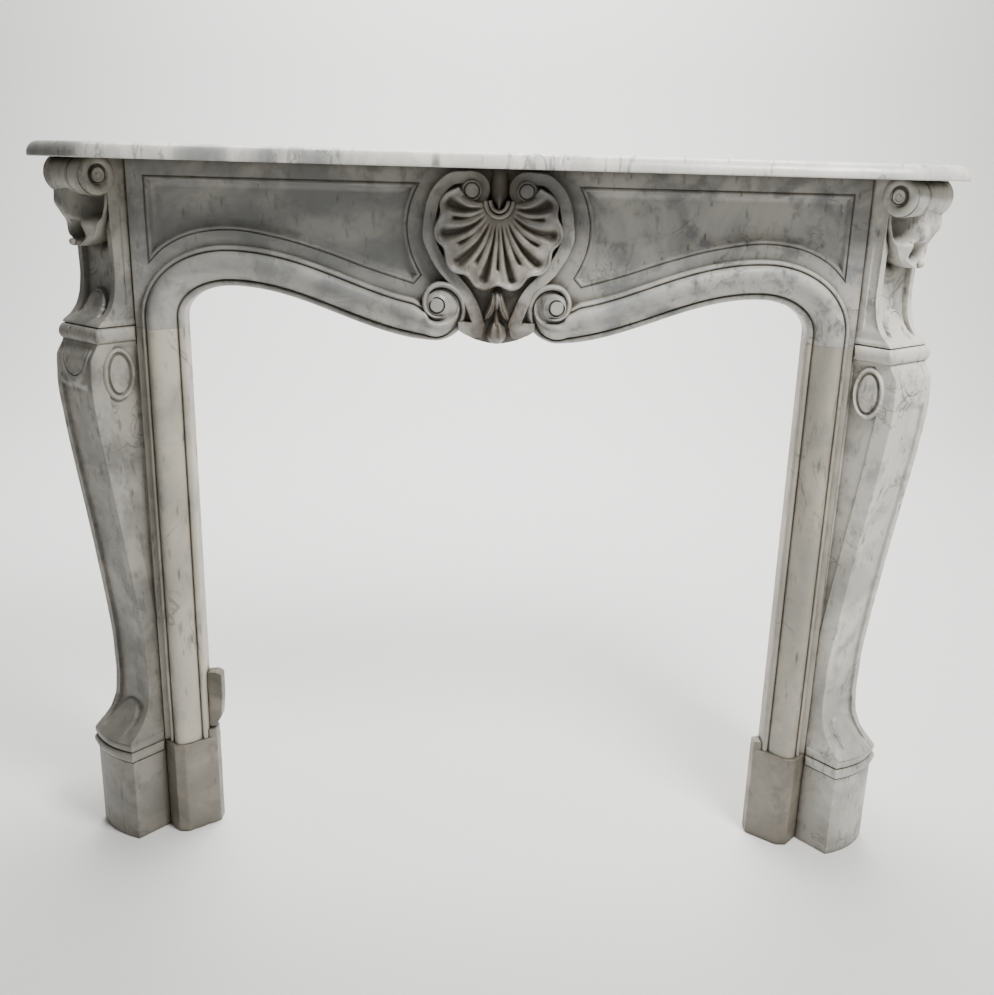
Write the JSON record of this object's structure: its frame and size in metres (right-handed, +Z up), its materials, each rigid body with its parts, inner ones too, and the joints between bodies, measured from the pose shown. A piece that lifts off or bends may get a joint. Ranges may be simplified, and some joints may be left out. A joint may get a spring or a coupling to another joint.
{
  "type": "fireplace mantel",
  "caption": "Carved marble fireplace mantel with diagonal scroll consoles, arched frieze with a scallop-shell cartouche, moulded slips and a thin moulded shelf.",
  "frame": {"origin": "on the floor, under the middle of the whole mantel", "axes": "+X to the viewer's right along the shelf, +Y from the front to the wall behind, +Z up"},
  "size_m": [1.33, 0.3, 1.092],
  "materials": {
    "carved_marble": "honed white marble with grey clouds and veins, dark dust in the carving, aged",
    "shelf_marble": "polished white marble with grey bands, the edge cleaner than the rest"
  },
  "bodies": {
    "root": {"shelf": "shelf_marble", "frieze": "carved_marble", "left_console": "carved_marble", "right_console": "carved_marble", "left_slip": "carved_marble", "right_slip": "carved_marble", "left_plinth": "carved_marble", "right_plinth": "carved_marble", "left_slab_remnant": "carved_marble", "left_return": "carved_marble", "right_return": "carved_marble"}
  },
  "joints": []
}
